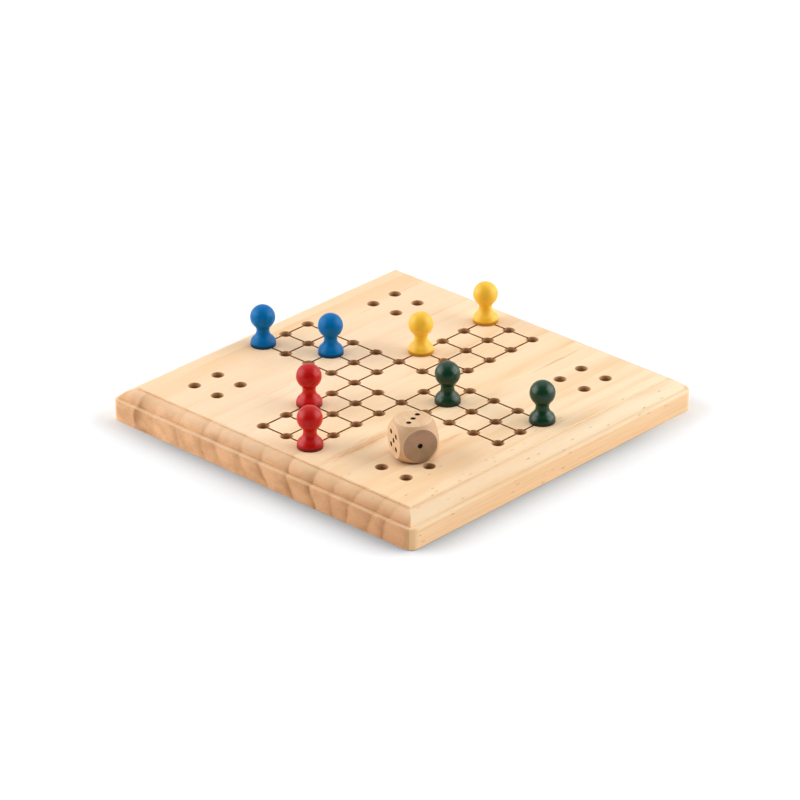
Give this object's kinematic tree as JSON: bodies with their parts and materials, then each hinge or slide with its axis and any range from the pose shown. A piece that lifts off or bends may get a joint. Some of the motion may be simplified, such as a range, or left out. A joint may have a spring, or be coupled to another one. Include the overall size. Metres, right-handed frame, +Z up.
{
  "type": "ludo board game",
  "caption": "Square solid wood peg board with a moulded edge, engraved cross-shaped track, turned and painted pawns that lift out of their holes, and a wooden die.",
  "frame": {"origin": "centre of the board's underside, on the surface that the board lies on", "axes": "+Z up; X and Y along the board's sides; the growth rings show on the faces across Y"},
  "size_m": [0.18, 0.18, 0.0346],
  "materials": {
    "pine": "satin",
    "die_wood": "satin",
    "blue_paint": "gloss",
    "red_paint": "gloss",
    "yellow_paint": "gloss",
    "green_paint": "gloss"
  },
  "bodies": {
    "board": {"board": "pine"},
    "die": {"die": "die_wood"},
    "pawn_blue_1": {"pawn_blue_1": "blue_paint"},
    "pawn_blue_2": {"pawn_blue_2": "blue_paint"},
    "pawn_red_1": {"pawn_red_1": "red_paint"},
    "pawn_red_2": {"pawn_red_2": "red_paint"},
    "pawn_yellow_1": {"pawn_yellow_1": "yellow_paint"},
    "pawn_yellow_2": {"pawn_yellow_2": "yellow_paint"},
    "pawn_green_1": {"pawn_green_1": "green_paint"},
    "pawn_green_2": {"pawn_green_2": "green_paint"}
  },
  "joints": [
    {"name": "die_lift", "type": "slide", "parent": "board", "child": "die", "axis": [0, 0, 1], "range_m": [0, 0.03]},
    {"name": "pawn_blue_1_lift", "type": "slide", "parent": "board", "child": "pawn_blue_1", "axis": [0, 0, 1], "range_m": [0, 0.03]},
    {"name": "pawn_blue_2_lift", "type": "slide", "parent": "board", "child": "pawn_blue_2", "axis": [0, 0, 1], "range_m": [0, 0.03]},
    {"name": "pawn_red_1_lift", "type": "slide", "parent": "board", "child": "pawn_red_1", "axis": [0, 0, 1], "range_m": [0, 0.03]},
    {"name": "pawn_red_2_lift", "type": "slide", "parent": "board", "child": "pawn_red_2", "axis": [0, 0, 1], "range_m": [0, 0.03]},
    {"name": "pawn_yellow_1_lift", "type": "slide", "parent": "board", "child": "pawn_yellow_1", "axis": [0, 0, 1], "range_m": [0, 0.03]},
    {"name": "pawn_yellow_2_lift", "type": "slide", "parent": "board", "child": "pawn_yellow_2", "axis": [0, 0, 1], "range_m": [0, 0.03]},
    {"name": "pawn_green_1_lift", "type": "slide", "parent": "board", "child": "pawn_green_1", "axis": [0, 0, 1], "range_m": [0, 0.03]},
    {"name": "pawn_green_2_lift", "type": "slide", "parent": "board", "child": "pawn_green_2", "axis": [0, 0, 1], "range_m": [0, 0.03]}
  ]
}
